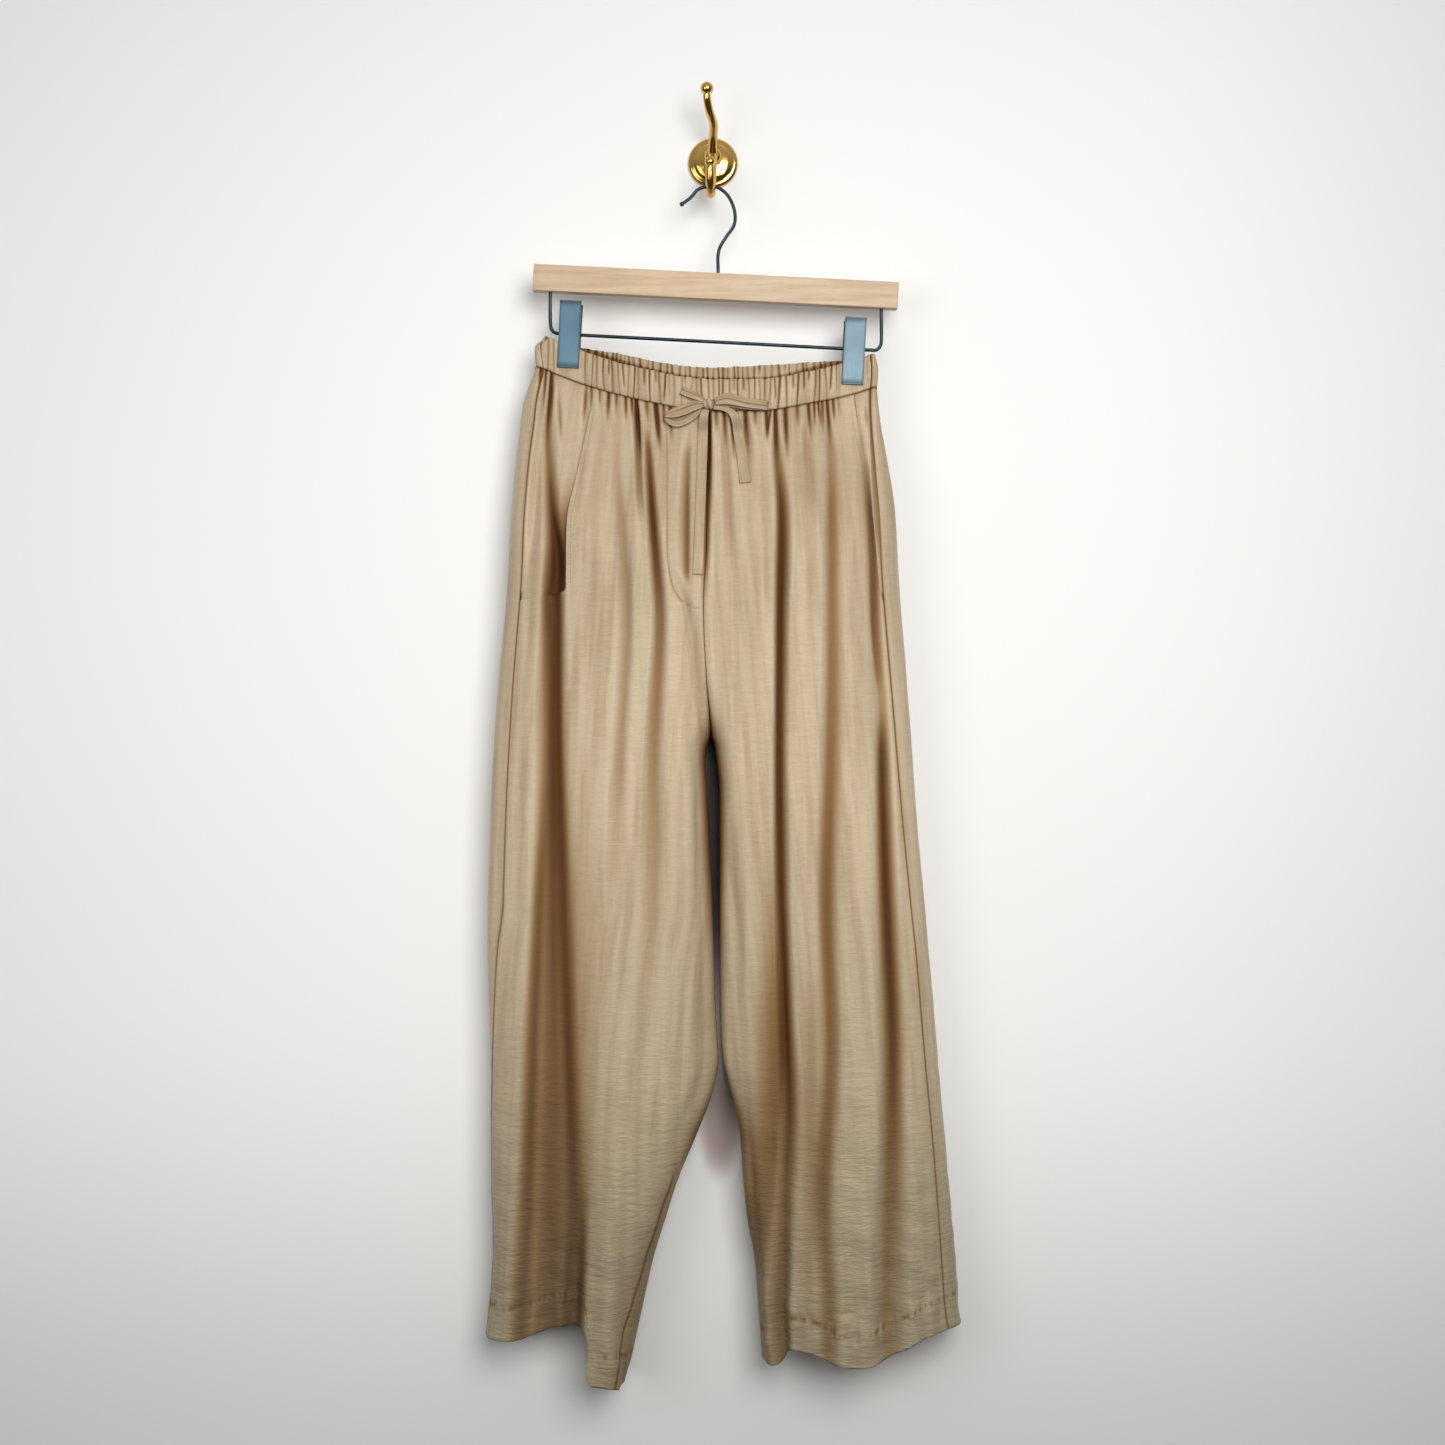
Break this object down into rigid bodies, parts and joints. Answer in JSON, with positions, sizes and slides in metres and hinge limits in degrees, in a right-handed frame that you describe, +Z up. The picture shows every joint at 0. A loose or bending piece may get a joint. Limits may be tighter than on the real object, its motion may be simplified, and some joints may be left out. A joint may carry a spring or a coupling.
{
  "type": "trousers on a clip hanger and wall hook",
  "caption": "Wide cropped trousers with a gathered elastic waist and a tied drawstring, held by a clip hanger on a double wall hook.",
  "frame": {"origin": "middle of the wall rosette's back face, on the wall", "axes": "+Z up, +Y into the wall, the front faces -Y, +X to the viewer's right"},
  "size_m": [0.4735, 0.0918, 1.292],
  "materials": {
    "crepe_cloth": "satin-backed crepe, fine cross ribs, soft sheen",
    "beech_wood": "light, matt lacquer",
    "dark_wire": "dark blue-grey, satin",
    "clip_steel": "blue-grey, satin metallic",
    "polished_brass": "polished"
  },
  "bodies": {
    "root": {"wall_rosette": "polished_brass", "wall_hook": "polished_brass", "hanger_hook": "dark_wire", "hanger_rail": "dark_wire", "hanger_bar": "beech_wood", "clip_right_front": "clip_steel", "clip_right_back": "clip_steel", "clip_right_barrel": "clip_steel", "clip_left_front": "clip_steel", "clip_left_back": "clip_steel", "clip_left_barrel": "clip_steel", "front_panel_right": "crepe_cloth", "back_panel_right": "crepe_cloth", "pocket_facing_right": "crepe_cloth", "front_panel_left": "crepe_cloth", "back_panel_left": "crepe_cloth", "pocket_facing_left": "crepe_cloth", "waistband_front": "crepe_cloth", "waistband_back": "crepe_cloth", "tie_knot": "crepe_cloth", "tie_loop_left": "crepe_cloth", "tie_loop_right": "crepe_cloth", "tie_loop_short": "crepe_cloth", "tie_tail_right": "crepe_cloth", "tie_tail_left": "crepe_cloth"}
  },
  "joints": []
}
